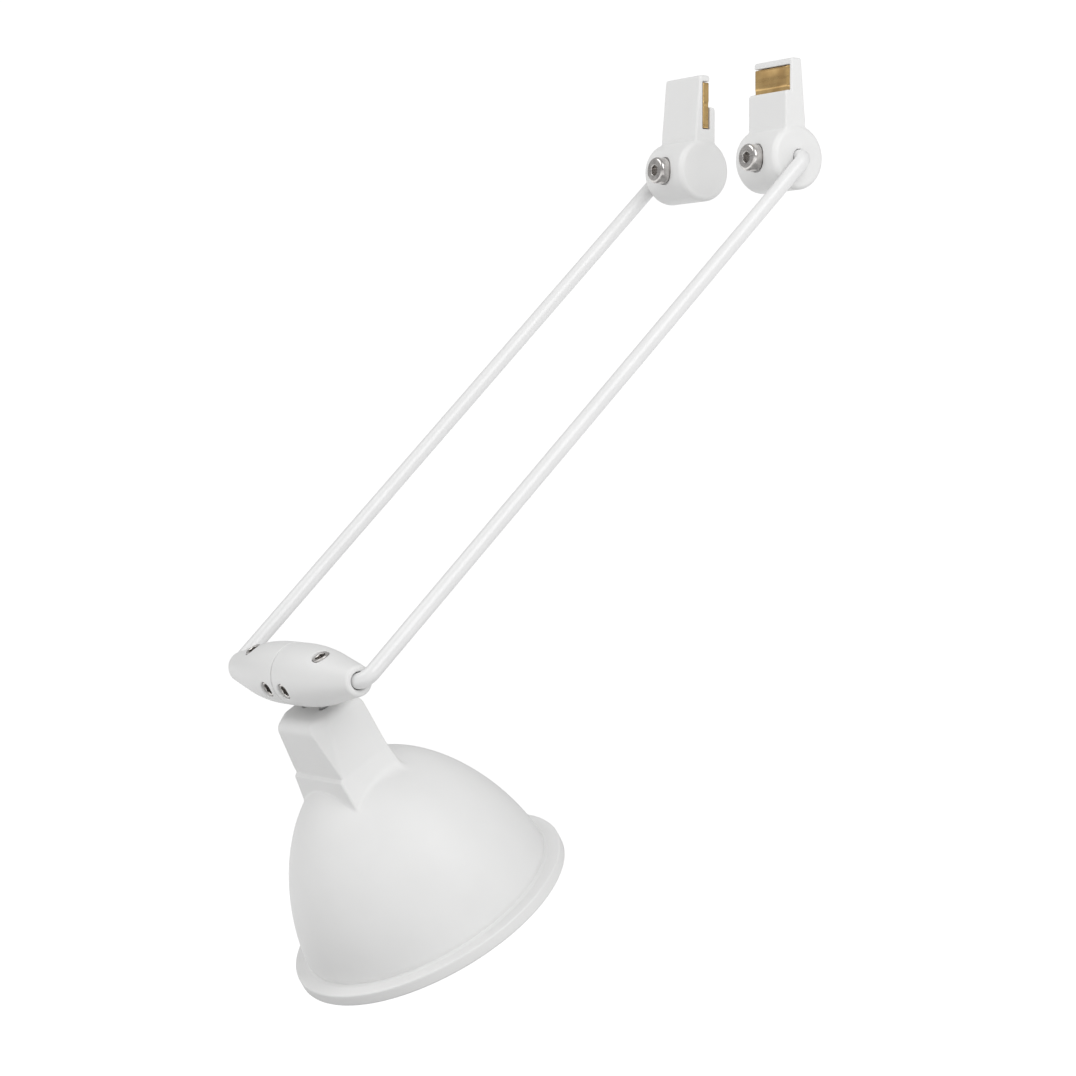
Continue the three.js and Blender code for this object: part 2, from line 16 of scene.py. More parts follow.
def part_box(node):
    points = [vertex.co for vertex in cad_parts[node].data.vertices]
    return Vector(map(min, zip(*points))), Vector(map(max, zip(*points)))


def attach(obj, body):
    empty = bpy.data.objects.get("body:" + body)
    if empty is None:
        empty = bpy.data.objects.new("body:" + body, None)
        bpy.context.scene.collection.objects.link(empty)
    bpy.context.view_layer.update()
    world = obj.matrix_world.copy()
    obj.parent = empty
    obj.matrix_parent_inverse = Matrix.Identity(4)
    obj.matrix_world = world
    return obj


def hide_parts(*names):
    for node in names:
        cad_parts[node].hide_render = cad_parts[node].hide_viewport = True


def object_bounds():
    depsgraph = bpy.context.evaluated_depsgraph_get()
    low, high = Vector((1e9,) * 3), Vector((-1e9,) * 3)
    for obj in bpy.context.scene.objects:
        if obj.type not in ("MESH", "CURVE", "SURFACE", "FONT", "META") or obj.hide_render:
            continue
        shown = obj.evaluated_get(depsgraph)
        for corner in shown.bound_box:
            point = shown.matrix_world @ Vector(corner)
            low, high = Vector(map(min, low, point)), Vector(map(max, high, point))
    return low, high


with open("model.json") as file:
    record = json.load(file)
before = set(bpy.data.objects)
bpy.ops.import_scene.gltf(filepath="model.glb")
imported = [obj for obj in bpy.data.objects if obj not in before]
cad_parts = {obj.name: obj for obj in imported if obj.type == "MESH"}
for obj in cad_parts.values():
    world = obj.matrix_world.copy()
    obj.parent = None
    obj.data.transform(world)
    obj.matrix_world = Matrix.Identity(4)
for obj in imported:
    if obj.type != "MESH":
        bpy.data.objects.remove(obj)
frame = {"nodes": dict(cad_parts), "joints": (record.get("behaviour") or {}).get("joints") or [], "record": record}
cad_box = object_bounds()

# ---------------------------------------------------------------- driving dimensions, millimetres

MM = 0.001
SIDES = {"left": -1, "right": 1}
JOINT_PLACE = {joint["name"]: Vector(joint["pos_m"]) for joint in frame["joints"]}
CLIP_AXIS = JOINT_PLACE["arm_swing"]
SPINDLE_AXIS = JOINT_PLACE["head_tilt"]


def centre(node):
    low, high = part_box(node)
    return (low + high) / 2


ARM_LENGTH = (SPINDLE_AXIS - CLIP_AXIS).length / MM
ARM_DIRECTION = (SPINDLE_AXIS - CLIP_AXIS).normalized()
SHADE_DIRECTION = (centre("lamp_glass") - SPINDLE_AXIS).normalized()

CLEARANCE = 0.3
SNUG = 0.12  # around a rod or a screw, where a gap would show
BARREL = {"radius": 9.0, "inner": 12.0, "outer": 30.0, "edge": 1.7}
CLIP_MIDDLE = (BARREL["inner"] + BARREL["outer"]) / 2
SHOULDER = -CLIP_AXIS.z / MM  # the lip's top, which meets the rail, above the barrel's axis
TONGUE = {
    "width": 16.5,
    "top": 9.1,
    "roof": 1.8,
    "back_top": 1.3,
    "back_foot": 2.9,
    "side_edge": 0.7,
}
LIP_FRONT = -4.3
ROOF_FRONT = -2.3
CONTACT = {"back": 0.4, "foot": -6.2, "width": 15.6, "bevel": 1.3}
DISH = {"depth": 0.22, "half_width": 0.42 * CONTACT["width"], "half_height": 2.6, "rise": 0.3}
SLEEVE = {"radius": 3.6, "inner": 15.0, "outer": 28.0}
CAP_SCREW = {
    "radius": 3.8,
    "height": 4.0,
    "proud": 2.8,
    "edge": 0.9,
    "shank": 1.95,
    "shank_end": 2.4,
    "socket": 1.4,
    "depth": 2.2,
}
COUNTERSINK = 1.12  # the mouth of a socket, as a share of its width

ROD = {"radius": 2.1, "bend": 3.3, "plane": 33.0, "clip_end": 17.3, "spindle_end": 10.0}
ROD_RUN_IN = 6.0  # from a bend to the first ring of the straight run

SPINDLE = {
    "half": 30.6,
    "seam": 0.15,
    "radius": 8.2,
    "knee": 11.5,
    "knee_curve": 1.6,
    "end": 3.9,
    "end_edge": 0.8,
    "seam_edge": 0.35,
    "mouth": 2.25,
    "flare": 0.35,
    "flare_depth": 1.0,
}
TERMINAL = {"radius": 4.7, "outer": 22.0}
GRUB = {"radius": 2.2, "edge": 0.25, "socket": 1.4, "depth": 2.2}
ROD_GRUB = {"x": 17.2, "inner": 2.4, "outer": 6.7}
STEM = {"x": 4.3, "radius": 1.25, "top": 3.0, "foot": -15.7}
STEM_GRUB = {"x": STEM["x"], "inner": 1.55, "outer": 7.6}

BOWL = {"top": 27.9, "bottom": 72.8, "radius": 35.5, "power": 1.6, "wall": 1.8}
RIM = {"radius": 39.5, "bottom": 77.4, "edge": 3.5, "lip": 4.7}
NECK = {
    "top": 10.0,
    "top_round": 3.4,
    "ledge": 26.0,
    "step": 0.9,
    "step_height": 0.8,
    "foot": 38.0,
    "front": 9.2,
    "back": 7.1,
    "half_width": 11.85,
    "corner": 0.7,
}
NECK_SLANT = {"length": 4.8, "slope": 0.78}
NECK_FLARE = {"length": 10.0, "most": 1.4, "side": 2.0, "front": 0.7, "back": 0.3}
NECK_FILLET = {"y": (-8, 4), "width": (0.5, 1.8), "reach": 0.98}
NECK_REACH = (18, 14)  # half the space for the neck with its fillet
HOLDER = {"top": 15.0, "width": 19.0, "depth": 8.6}

REFLECTOR = {
    "top": 37.0,
    "face": 68.5,
    "radius": 25.3,
    "neck": 7.2,
    "hole": 4.2,
    "wall": 1.4,
    "rim": 3.0,
}
CAPSULE = {"top": 36.9, "shoulder": 52.0, "tip": 58.4, "radius": 3.0}
FRONT_GLASS = {"thickness": 1.5, "ledge": 0.9}
FILAMENT = {"turns": 9, "radius": 0.55, "half": 1.9, "height": -48.0, "wire": 0.1}

# The cell of the surface net for each kind of piece.
NET_CELL = {
    "shell": 0.3,
    "contact": 0.16,
    "cap_screw": 0.14,
    "grub": 0.11,
    "stem": 0.14,
    "neck": 0.22,
}

# The stage: metres, degrees and watts; lens and sensor in millimetres.
CAMERA = {
    "azimuth": 55.0,
    "elevation": 1.5,
    "place": (0.6234, -0.5042, -0.1041),
    "lens": 93.08,
    "sensor": 36.0,
}
KEY_LIGHT = {"azimuth": 85, "elevation": 36, "distance": 1.4, "size": 1.1, "power": 8.5}
FILL_LIGHT = {"azimuth": -22, "elevation": 48, "distance": 1.6, "size": 1.2, "power": 6.6}
WORLD = {"as_light": 0.45, "seen": 1.05}
FLOOR = {"drop": 0.2, "half": 60.0, "glow_from": 0.62, "glow_full": 0.78, "glow": 0.8}

# ---------------------------------------------------------------- implicit solids


def clip_frame(side):
    """Origin on the clip's axis; the left clip is the right one turned half a turn about Z."""
    turn = Matrix.Rotation(math.pi, 4, "Z") if side < 0 else Matrix.Identity(4)
    return Matrix.Translation(CLIP_AXIS) @ turn @ Matrix.Scale(MM, 4)


def head_frame():
    """Origin on the spindle axis, X along it, the shade along -Z."""
    up = -SHADE_DIRECTION
    back = up.cross(Vector((1, 0, 0)))
    axes = Matrix((Vector((1, 0, 0)), back, up)).transposed().to_4x4()
    return Matrix.Translation(SPINDLE_AXIS) @ axes @ Matrix.Scale(MM, 4)


def blend_min(a, b, width):
    """Union with a fillet of about this width."""
    h = np.clip(0.5 + 0.5 * (b - a) / width, 0, 1)
    return b + (a - b) * h - width * h * (1 - h)


def blend_max(a, b, width):
    """Intersection with a rounded edge of about this width."""
    return -blend_min(-a, -b, width)


def carve(body, hollows):
    """A body without its hollows, each given with the width of its softened edge."""
    for hollow, width in hollows:
        body = blend_max(body, -hollow, width)
    return body


def round_box(p, low, high, edge):
    low, high = np.array(low), np.array(high)
    q = np.abs(p - (low + high) / 2) - (high - low) / 2 + edge
    return np.linalg.norm(np.maximum(q, 0), axis=1) + np.minimum(q.max(1), 0) - edge


def pin(p, start, end, radius, edge=0.0):
    """A cylinder between two points, with rounded edges."""
    start, end = np.array(start, float), np.array(end, float)
    length = np.linalg.norm(end - start)
    axis = (end - start) / length
    along = (p - start) @ axis
    radial = np.linalg.norm(p - start - along[:, None] * axis, axis=1)
    q = np.stack([radial - radius, np.abs(along - length / 2) - length / 2], 1) + edge
    return np.linalg.norm(np.maximum(q, 0), axis=1) + np.minimum(q.max(1), 0) - edge


def hexagon(u, v, apothem):
    """Distance to a hexagonal prism in the plane across its axis."""
    slanted = np.abs(u) * math.cos(math.pi / 3) + np.abs(v) * math.sin(math.pi / 3)
    return np.maximum(np.abs(u), slanted) - apothem


def rounded(corners, steps=6):
    """An outline from corners (u, v) or (u, v, radius): each given radius rounds its corner."""
    points = []
    for i, corner in enumerate(corners):
        here = np.array(corner[:2], float)
        if len(corner) == 2:
            points.append(here)
            continue
        before = np.array(corners[i - 1][:2], float) - here
        after = np.array(corners[(i + 1) % len(corners)][:2], float) - here
        before, after = before / np.linalg.norm(before), after / np.linalg.norm(after)
        half_angle = math.acos(np.clip(before @ after, -1, 1)) / 2
        reach = corner[2] / math.tan(half_angle)
        for t in np.linspace(0, 1, steps):
            points.append(here + before * reach * (1 - t) ** 2 + after * reach * t**2)
    return np.array(points)


class Outline:
    """The signed distance to a closed outline, read from a table."""

    CELL = 0.12
    MARGIN = 4.0

    def __init__(self, points):
        self.low = points.min(0) - self.MARGIN
        size = np.ceil((points.max(0) + self.MARGIN - self.low) / self.CELL).astype(int) + 1
        rows = [self.low[k] + self.CELL * np.arange(size[k]) for k in (0, 1)]
        u, v = np.meshgrid(*rows, indexing="ij")
        nearest = np.full(u.shape, np.inf)
        inside = np.zeros(u.shape, bool)
        for a, b in zip(points, np.roll(points, -1, 0)):
            edge = b - a
            along = (u - a[0]) * edge[0] + (v - a[1]) * edge[1]
            t = np.clip(along / max(edge @ edge, 1e-12), 0, 1)
            square = (u - a[0] - t * edge[0]) ** 2 + (v - a[1] - t * edge[1]) ** 2
            nearest = np.minimum(nearest, square)
            crosses = (a[1] > v) != (b[1] > v)
            rise = edge[1] if edge[1] else 1.0
            inside ^= crosses & (u < a[0] + (v - a[1]) * edge[0] / rise)
        self.table = np.sqrt(nearest) * np.where(inside, -1, 1)

    def __call__(self, u, v):
        i, j = [
            np.clip((x - self.low[k]) / self.CELL, 0, self.table.shape[k] - 1.001)
            for k, x in enumerate((u, v))
        ]
        i0, j0 = i.astype(int), j.astype(int)
        s, t = i - i0, j - j0
        table = self.table
        near = table[i0, j0] * (1 - t) + table[i0, j0 + 1] * t
        far = table[i0 + 1, j0] * (1 - t) + table[i0 + 1, j0 + 1] * t
        return near * (1 - s) + far * s


CORNERS = [np.array([i, j, k]) for i in (0, 1) for j in (0, 1) for k in (0, 1)]
UNITS = np.eye(3, dtype=int)


def cell_vertices(values, cells):
    """One vertex in each cell that the surface crosses: the mean of the crossings of its edges."""
    total = np.zeros((len(cells), 3))
    hits = np.zeros(len(cells))
    for corner in CORNERS:
        for unit in UNITS:
            if corner @ unit:
                continue
            a = values[tuple((cells + corner).T)]
            b = values[tuple((cells + corner + unit).T)]
            crossed = (a < 0) != (b < 0)
            share = np.where(crossed, a / np.where(crossed, a - b, 1), 0)
            total += np.where(crossed[:, None], corner + share[:, None] * unit, 0)
            hits += crossed
    return cells + total / hits[:, None]


def cell_faces(inside, index):
    """One quad around each grid edge that the surface crosses."""
    quads = []
    for axis in range(3):
        u, v = UNITS[(axis + 1) % 3], UNITS[(axis + 2) % 3]
        here = np.take(inside, range(inside.shape[axis] - 1), axis)
        there = np.take(inside, range(1, inside.shape[axis]), axis)
        points = np.argwhere(here != there)
        around = ((0, 0), (1, 0), (1, 1), (0, 1))
        loop = [index[tuple((points - s * u - t * v).T)] for s, t in around]
        quad = np.stack(loop, 1)
        leaves = here[tuple(points.T)]
        quads += [quad[leaves], quad[~leaves][:, ::-1]]
    return np.concatenate(quads)


SLOPE_REACH = 0.12  # how far to each side a slope is measured


def gradient(distance, points):
    steps = SLOPE_REACH * UNITS
    rises = [distance(points + step) - distance(points - step) for step in steps]
    return np.stack(rises, 1) / (2 * SLOPE_REACH)


BLOCK = 6  # grid points along the side of a block
BATCH = 2000  # blocks sampled at once
NEAR = 1.5  # blocks between a block's middle and the surface, up to where it is sampled
NET_MARGIN = 1.6  # cells around the given box
SNAP_PASSES = 3  # how often the vertices are drawn to the surface
LEAST_SLOPE = 0.2  # the square of the slope, where the distance is flat


def sample(distance, origin, blocks, step):
    """Distances on a grid: exact in the blocks near the surface, only the sign in the others."""
    corners = np.argwhere(np.ones(blocks, bool)) * BLOCK
    middle = distance(origin + step * (corners + (BLOCK - 1) / 2))
    values = np.repeat(np.repeat(np.repeat(middle.reshape(blocks), BLOCK, 0), BLOCK, 1), BLOCK, 2)
    near = corners[np.abs(middle) < NEAR * BLOCK * step]
    offsets = np.argwhere(np.ones((BLOCK,) * 3, bool))
    for part in np.array_split(near, max(1, len(near) // BATCH)):
        points = (part[:, None] + offsets).reshape(-1, 3)
        values[tuple(points.T)] = distance(origin + step * points)
    return values


def corners_inside(inside):
    """How many of its eight corners are inside, for each cell."""
    across, along, up = np.array(inside.shape) - 1
    count = np.zeros((across, along, up), int)
    for i, j, k in CORNERS:
        count += inside[i : i + across, j : j + along, k : k + up]
    return count


def surface_net(distance, low, high, step):
    """Vertices, quads and normals of the surface where distance is zero."""
    origin = np.array(low) - NET_MARGIN * step
    counts = np.ceil((np.array(high) - origin) / step).astype(int) + 3
    values = sample(distance, origin, tuple(-(-counts // BLOCK)), step)
    inside = values < 0
    full = corners_inside(inside)
    cells = np.argwhere((full > 0) & (full < len(CORNERS)))
    index = np.full(full.shape, -1)
    index[tuple(cells.T)] = np.arange(len(cells))
    points = origin + step * cell_vertices(values, cells)
    for _ in range(SNAP_PASSES):
        slope = gradient(distance, points)
        steepness = np.maximum((slope**2).sum(1), LEAST_SLOPE)
        moved = (distance(points) / steepness)[:, None] * slope
        points = points - np.clip(moved, -step / 2, step / 2)
    normals = gradient(distance, points)
    normals /= np.maximum(np.linalg.norm(normals, axis=1), 1e-9)[:, None]
    return points, cell_faces(inside, index), normals


# ---------------------------------------------------------------- pieces


def add_piece(name, data, body, slot, replaces):
    """A piece that moves with a body, in the material of its slot."""
    piece = bpy.data.objects.new(name, data)
    bpy.context.scene.collection.objects.link(piece)
    data.materials.append(MATERIALS[slot])
    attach(piece, body)
    if replaces:
        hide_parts(*replaces)
    return piece


def mesh_data(name, points, faces, place):
    data = bpy.data.meshes.new(name)
    data.from_pydata([place @ Vector(p) for p in points], [], [list(map(int, f)) for f in faces])
    return data


def implicit_piece(name, distance, low, high, step, place, body, slot, replaces):
    points, quads, normals = surface_net(distance, low, high, step)
    data = mesh_data(name, points, quads, place)
    turn = np.array(place.to_3x3().normalized())
    data.shade_smooth()
    data.normals_split_custom_set_from_vertices(normals @ turn.T)
    add_piece(name, data, body, slot, replaces)


def ring_faces(rings, sides, closed=False):
    faces = []
    for i in range(rings if closed else rings - 1):
        j = (i + 1) % rings
        for k in range(sides):
            m = (k + 1) % sides
            faces.append((i * sides + k, i * sides + m, j * sides + m, j * sides + k))
    return faces


def tube(name, path, radius, place, sides):
    """A round bar along a path of points, closed at its ends."""
    path = np.array(path, float)
    tangents = np.gradient(path, axis=0)
    tangents /= np.linalg.norm(tangents, axis=1)[:, None]
    across = np.cross(tangents[0], tangents[len(tangents) // 2])
    if np.linalg.norm(across) < 1e-6:
        across = np.cross(tangents[0], (0.3, 0.5, 0.8))
    points = []
    for here, tangent in zip(path, tangents):
        across = across - (across @ tangent) * tangent
        across = across / np.linalg.norm(across)
        other = np.cross(tangent, across)
        for k in range(sides):
            a = 2 * math.pi * k / sides
            points.append(here + radius * (math.cos(a) * across + math.sin(a) * other))
    faces = ring_faces(len(path), sides)
    faces.append(tuple(reversed(range(sides))))
    faces.append(tuple(range((len(path) - 1) * sides, len(path) * sides)))
    data = mesh_data(name, points, faces, place)
    data.shade_smooth()
    return data


def lathe_down(name, outline, place, sides):
    """A closed outline of (distance, radius) turned about the shade axis."""
    points = []
    for distance, radius in outline:
        for k in range(sides):
            a = 2 * math.pi * k / sides
            points.append((radius * math.cos(a), radius * math.sin(a), -distance))
    data = mesh_data(name, points, ring_faces(len(outline), sides, closed=True), place)
    data.shade_smooth()
    return data


# ---------------------------------------------------------------- materials


def new_material(name):
    material = bpy.data.materials.new(name)
    material.use_nodes = True
    nodes = material.node_tree.nodes
    return material, nodes, material.node_tree.links, nodes["Principled BSDF"]


def noise(nodes, links, scale, detail, stretch=(1, 1, 1)):
    """A noise factor in the piece's own coordinates; scale is in features for each metre."""
    place = nodes.new("ShaderNodeTexCoord")
    mapping = nodes.new("ShaderNodeMapping")
    mapping.inputs["Scale"].default_value = stretch
    texture = nodes.new("ShaderNodeTexNoise")
    texture.inputs["Scale"].default_value = scale
    texture.inputs["Detail"].default_value = detail
    links.new(place.outputs["Object"], mapping.inputs["Vector"])
    links.new(mapping.outputs["Vector"], texture.inputs["Vector"])
    return texture.outputs["Fac"]


def ramp(nodes, links, factor, stops, target):
    """A colour ramp of (position, colour or grey), linked to an input."""
    node = nodes.new("ShaderNodeValToRGB")
    elements = node.color_ramp.elements
    while len(elements) < len(stops):
        elements.new(0.5)
    for element, (position, colour) in zip(elements, stops):
        element.position = position
        element.color = (*colour, 1) if isinstance(colour, tuple) else (colour, colour, colour, 1)
    links.new(factor, node.inputs["Fac"])
    links.new(node.outputs["Color"], target)


def bump(nodes, links, shader, heights):
    """Bumps from (factor, strength, height in metres), laid over each other."""
    below = None
    for factor, strength, height in heights:
        node = nodes.new("ShaderNodeBump")
        node.inputs["Strength"].default_value = strength
        node.inputs["Distance"].default_value = height
        links.new(factor, node.inputs["Height"])
        if below:
            links.new(below, node.inputs["Normal"])
        below = node.outputs["Normal"]
    links.new(below, shader.inputs["Normal"])


def white_plastic(name, tone, rough, grain):
    """Moulded white plastic: a faint mottle, a fine eroded skin and slow waves from moulding."""
    material, nodes, links, shader = new_material(name)
    dark = tuple(0.985 * c for c in tone)
    mottle = noise(nodes, links, 90, 5)
    skin = noise(nodes, links, grain, 4)
    waves = noise(nodes, links, 60, 1)
    gloss = [(0.3, rough - 0.05), (0.7, rough + 0.07)]
    ramp(nodes, links, mottle, [(0.35, dark), (0.62, tone)], shader.inputs["Base Color"])
    ramp(nodes, links, skin, gloss, shader.inputs["Roughness"])
    shader.inputs["IOR"].default_value = 1.5
    bump(nodes, links, shader, [(waves, 0.03, 0.0002), (skin, 0.12, 0.00004)])
    return material


def white_coat():
    """White coat on the rods: soft orange peel under a thin clear gloss."""
    material, nodes, links, shader = new_material("white_rod_coating")
    peel = noise(nodes, links, 700, 2)
    mottle = noise(nodes, links, 60, 4)
    ramp(nodes, links, mottle, [(0.35, 0.79), (0.65, 0.81)], shader.inputs["Base Color"])
    ramp(nodes, links, peel, [(0.3, 0.3), (0.7, 0.35)], shader.inputs["Roughness"])
    shader.inputs["Coat Weight"].default_value = 0.25
    shader.inputs["Coat Roughness"].default_value = 0.18
    bump(nodes, links, shader, [(peel, 0.05, 0.00004)])
    return material


def brass():
    """Stamped brass: rolled along the strip, lightly tarnished in patches."""
    material, nodes, links, shader = new_material("brass")
    rolled = noise(nodes, links, 900, 3, (0.05, 1, 1))
    tarnish = noise(nodes, links, 220, 5)
    tones = [(0.3, (0.56, 0.36, 0.15)), (0.5, (0.68, 0.46, 0.2)), (0.75, (0.76, 0.53, 0.24))]
    ramp(nodes, links, tarnish, tones, shader.inputs["Base Color"])
    ramp(nodes, links, rolled, [(0.3, 0.24), (0.7, 0.4)], shader.inputs["Roughness"])
    shader.inputs["Metallic"].default_value = 1
    bump(nodes, links, shader, [(rolled, 0.15, 0.00003)])
    return material


def bright_metal(name, dark, light, rough):
    """Plated or drawn metal: fine scratches and slightly uneven gloss."""
    material, nodes, links, shader = new_material(name)
    scratches = noise(nodes, links, 2400, 2, (0.1, 1, 1))
    patches = noise(nodes, links, 500, 4)
    ramp(nodes, links, patches, [(0.3, dark), (0.65, light)], shader.inputs["Base Color"])
    ramp(nodes, links, scratches, [(0.35, rough), (0.7, rough + 0.12)], shader.inputs["Roughness"])
    shader.inputs["Metallic"].default_value = 1
    bump(nodes, links, shader, [(scratches, 0.08, 0.00002)])
    return material


def ceramic():
    """Unglazed steatite: off-white with fine specks."""
    material, nodes, links, shader = new_material("ceramic")
    specks = noise(nodes, links, 1500, 2)
    tones = [(0.2, (0.6, 0.56, 0.48)), (0.36, (0.78, 0.75, 0.68)), (0.7, (0.83, 0.8, 0.74))]
    ramp(nodes, links, specks, tones, shader.inputs["Base Color"])
    shader.inputs["Roughness"].default_value = 0.72
    bump(nodes, links, shader, [(specks, 0.2, 0.00005)])
    return material


def reflector_coat():
    """Bright coated glass with a cool and a warm cast in patches."""
    material, nodes, links, shader = new_material("reflector_glass")
    cast = noise(nodes, links, 70, 2)
    haze = noise(nodes, links, 900, 2)
    tones = [(0.35, (0.74, 0.78, 0.86)), (0.6, 0.88), (0.75, (0.9, 0.85, 0.78))]
    ramp(nodes, links, cast, tones, shader.inputs["Base Color"])
    ramp(nodes, links, haze, [(0.3, 0.08), (0.7, 0.16)], shader.inputs["Roughness"])
    shader.inputs["Metallic"].default_value = 1
    return material


def clear_glass():
    material, nodes, links, shader = new_material("clear_glass")
    shader.inputs["Base Color"].default_value = (0.97, 0.99, 1, 1)
    shader.inputs["Transmission Weight"].default_value = 1
    shader.inputs["IOR"].default_value = 1.46
    ripple = noise(nodes, links, 140, 2)
    ramp(nodes, links, ripple, [(0.3, 0.01), (0.7, 0.04)], shader.inputs["Roughness"])
    bump(nodes, links, shader, [(ripple, 0.05, 0.0001)])
    return material


def floor_material():
    """Pale paper that glows away from the lamp, so that it runs into the white background."""
    material, nodes, links, shader = new_material("studio_floor")
    clouds = noise(nodes, links, 3, 4)
    ramp(nodes, links, clouds, [(0.3, 0.49), (0.7, 0.52)], shader.inputs["Base Color"])
    shader.inputs["Roughness"].default_value = 0.9
    shader.inputs["Emission Color"].default_value = (1, 1, 1, 1)
    place = nodes.new("ShaderNodeTexCoord")
    distance = nodes.new("ShaderNodeVectorMath")
    distance.operation = "LENGTH"
    glow = nodes.new("ShaderNodeMapRange")
    glow.interpolation_type = "SMOOTHSTEP"
    glow.inputs["From Min"].default_value = FLOOR["glow_from"]
    glow.inputs["From Max"].default_value = FLOOR["glow_full"]
    glow.inputs["To Max"].default_value = FLOOR["glow"]
    links.new(place.outputs["Object"], distance.inputs[0])
    links.new(distance.outputs["Value"], glow.inputs["Value"])
    links.new(glow.outputs["Result"], shader.inputs["Emission Strength"])
    return material


MATERIALS = {
    "white_plastic": white_plastic("white_plastic", (0.8, 0.8, 0.795), 0.4, 2600),
    "white_shade": white_plastic("white_shade", (0.82, 0.82, 0.815), 0.46, 1900),
    "white_rod_coating": white_coat(),
    "brass": brass(),
    "bright_screw": bright_metal("bright_screw", (0.46, 0.44, 0.43), (0.72, 0.7, 0.68), 0.16),
    "steel_pin": bright_metal("steel_pin", (0.45, 0.45, 0.45), (0.66, 0.66, 0.66), 0.28),
    "ceramic": ceramic(),
    "reflector_glass": reflector_coat(),
    "clear_glass": clear_glass(),
}

# ---------------------------------------------------------------- clips

TONGUE_TOP = SHOULDER + TONGUE["top"]
CLOSED_SIDE = CLIP_MIDDLE + CONTACT["width"] - TONGUE["width"] / 2
SCREW_FACE = BARREL["radius"] + CAP_SCREW["proud"]

TONGUE_OUTLINE = Outline(
    rounded(
        [
            (LIP_FRONT, 0),
            (TONGUE["back_foot"], 0),
            (TONGUE["back_foot"], BARREL["radius"] + 1, 2),
            (TONGUE["back_top"], TONGUE_TOP, 1.0),
            (ROOF_FRONT, TONGUE_TOP, 1.0),
            (ROOF_FRONT, SHOULDER + 0.2),
            (ROOF_FRONT, SHOULDER),
            (LIP_FRONT, SHOULDER, 1.2),
        ]
    )
)
POCKET_OUTLINE = Outline(
    rounded(
        [
            (CONTACT["back"], SHOULDER + CONTACT["foot"] - CLEARANCE),
            (CONTACT["back"], TONGUE_TOP - TONGUE["roof"], 0.3),
            (ROOF_FRONT - 3, TONGUE_TOP - TONGUE["roof"]),
            (ROOF_FRONT - 3, SHOULDER),
            (ROOF_FRONT, SHOULDER),
            (ROOF_FRONT, SHOULDER + CONTACT["foot"] - CLEARANCE),
        ]
    )
)


def slab(across, x, low, high, edge):
    """An outline's distance, cut off between two places along X with rounded edges."""
    return blend_max(across, np.maximum(low - x, x - high), edge)


def clip_body(screw_side):
    def distance(p):
        x, y, z = p.T
        half = TONGUE["width"] / 2
        barrel_ends = (BARREL["inner"], 0, 0), (BARREL["outer"], 0, 0)
        barrel = pin(p, *barrel_ends, BARREL["radius"], BARREL["edge"])
        across = TONGUE_OUTLINE(y, z)
        tongue = slab(across, x, CLIP_MIDDLE - half, CLIP_MIDDLE + half, TONGUE["side_edge"])
        body = blend_min(barrel, tongue, 0.5)
        pocket = slab(POCKET_OUTLINE(y, z), x, CLIP_MIDDLE - half - 3, CLOSED_SIDE, 0.2)
        from_screw = np.hypot(x - CLIP_MIDDLE, z)
        seat = SCREW_FACE - CAP_SCREW["height"] - CLEARANCE
        head_hole = np.maximum(from_screw - CAP_SCREW["radius"] - SNUG, seat - screw_side * y)
        shank_hole = np.maximum(from_screw - CAP_SCREW["shank"] - CLEARANCE, -screw_side * y)
        sleeve_ends = (SLEEVE["inner"] - CLEARANCE, 0, 0), (SLEEVE["outer"] + CLEARANCE, 0, 0)
        sleeve = pin(p, *sleeve_ends, SLEEVE["radius"] + CLEARANCE)
        bore = np.maximum(np.hypot(y, z) - ROD["radius"] - SNUG, SLEEVE["outer"] - x)
        hollows = [
            (pocket, 0.25),
            (head_hole, 0.25),
            (shank_hole, 0.1),
            (sleeve, 0.1),
            (bore, 0.12),
        ]
        return carve(body, hollows)

    return distance


def clip_contact():
    """A pad in the window, bevelled at its foot and closed end and slightly dished, with a strip
    behind the lip."""
    back = CONTACT["back"] - CLEARANCE
    front = ROOF_FRONT + CLEARANCE / 2
    foot = SHOULDER + CLEARANCE
    top = TONGUE_TOP - TONGUE["roof"] - CLEARANCE
    open_side = CLIP_MIDDLE - TONGUE["width"] / 2 + CLEARANCE
    closed_side = CLOSED_SIDE - CLEARANCE
    slope = Vector((0.5, 1)).normalized()

    def distance(p):
        x, y, z = p.T
        pad = round_box(p, (open_side, front, foot), (closed_side, back, top), 0.3)
        foot_bevel = (foot - z + CONTACT["bevel"]) * slope.x + (front - y) * slope.y
        end_bevel = (x - closed_side + CONTACT["bevel"]) * slope.x + (front - y) * slope.y
        pad = blend_max(blend_max(pad, foot_bevel, 0.15), end_bevel, 0.15)
        across = (x - (open_side + closed_side) / 2) / DISH["half_width"]
        height = (z - (foot + top) / 2 - DISH["rise"]) / DISH["half_height"]
        dish = DISH["depth"] * np.clip(1 - across**2, 0, 1) * np.clip(1 - height**2, 0, 1)
        pad = pad + np.where(y < (front + back) / 2, dish, 0)
        strip_low = (open_side, front + CLEARANCE / 2, SHOULDER + CONTACT["foot"])
        strip = round_box(p, strip_low, (closed_side, back, foot + 1), 0.25)
        return blend_min(pad, strip, 0.15)

    return distance


def socket_screw(u, v, height, face, seat, screw):
    """A screw from seat to face, along its own height, with a countersunk hexagon socket."""
    edge, socket = screw["edge"], screw["socket"]
    radial = np.hypot(u, v)
    beyond = np.abs(height - (face + seat) / 2) - (face - seat) / 2
    q = np.stack([radial - screw["radius"], beyond], 1) + edge
    head = np.linalg.norm(np.maximum(q, 0), axis=1) + np.minimum(q.max(1), 0) - edge
    hole = np.maximum(hexagon(u, v, socket), face - screw["depth"] - height)
    mouth = (radial - socket * COUNTERSINK - (height - face)) * math.sqrt(0.5)
    return carve(head, [(hole, 0.08), (mouth, 0.08)])


